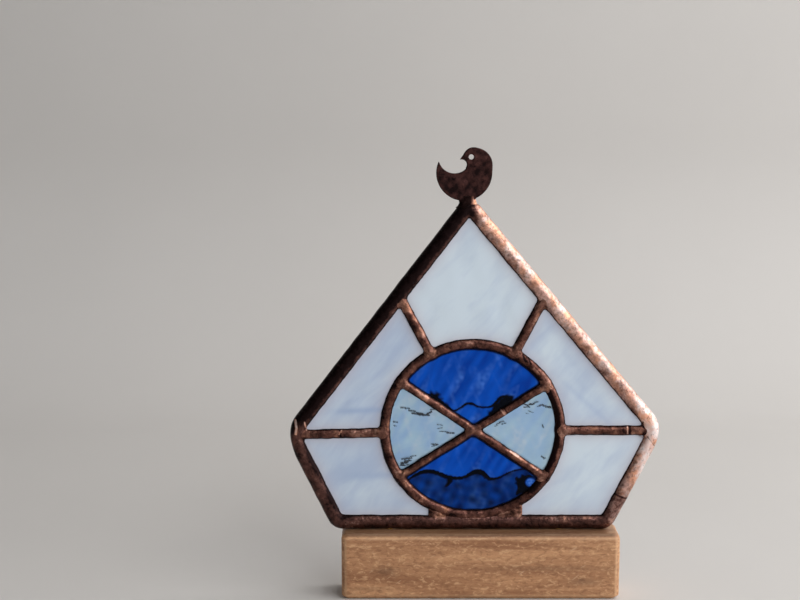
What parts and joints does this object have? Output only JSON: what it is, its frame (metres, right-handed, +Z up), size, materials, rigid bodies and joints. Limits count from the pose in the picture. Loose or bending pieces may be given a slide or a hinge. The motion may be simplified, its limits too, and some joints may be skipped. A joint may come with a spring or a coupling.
{
  "type": "leaded glass gable panel on a stand block",
  "caption": "Flat leaded glass panel shaped like a gable, with a round blue medallion and a copper bird on its apex, pinned upright on a wooden block.",
  "frame": {"origin": "middle of the object's box, on the underside of the wooden block", "axes": "+Z up, +X to the right seen from the front, +Y towards the back; the panel stands in the XZ plane"},
  "size_m": [0.149, 0.018, 0.1813],
  "materials": {
    "white_glass": "glossy opalescent with faint wisps",
    "blue_glass": "glossy cobalt, wavy and streaked",
    "clear_glass": "pale clear glass with ripples",
    "rim_copper": "copper-brown patina over hand-run solder, rubbed bright on edges",
    "seam_copper": "copper-brown patina over hand-run solder",
    "solder": "soft satin, copper patina",
    "bird_copper": "dark mottled patina on sheet",
    "pin_brass": "plain drawn wire",
    "block_wood": "sanded, unvarnished, with fine dark flecks"
  },
  "bodies": {
    "stand": {"stand_block": "block_wood"},
    "panel": {"apex_glass": "white_glass", "upper_left_glass": "white_glass", "upper_right_glass": "white_glass", "lower_left_glass": "white_glass", "lower_right_glass": "white_glass", "medallion_top_glass": "blue_glass", "medallion_bottom_glass": "blue_glass", "medallion_left_glass": "clear_glass", "medallion_right_glass": "clear_glass", "roof_rim_left": "rim_copper", "roof_rim_right": "rim_copper", "wall_rim_left": "rim_copper", "wall_rim_right": "rim_copper", "sill_rim": "rim_copper", "apex_cap": "rim_copper", "eaves_corner_left": "rim_copper", "eaves_corner_right": "rim_copper", "sill_corner_left": "rim_copper", "sill_corner_right": "rim_copper", "medallion_ring": "seam_copper", "upper_left_mullion": "seam_copper", "upper_right_mullion": "seam_copper", "left_mullion": "seam_copper", "right_mullion": "seam_copper", "rising_cross_bar": "seam_copper", "upper_cross_bar": "seam_copper", "lower_cross_bar": "seam_copper", "centre_solder": "solder", "medallion_solder": "solder", "ring_solder": "solder", "rim_solder": "solder", "sill_fillets": "solder", "bird_finial": "bird_copper", "finial_solder": "solder", "locating_pin_left": "pin_brass", "locating_pin_right": "pin_brass"}
  },
  "joints": [
    {"name": "panel_lift", "type": "slide", "parent": "stand", "child": "panel", "axis": [0, 0, 1], "range_m": [0, 0.03]}
  ]
}
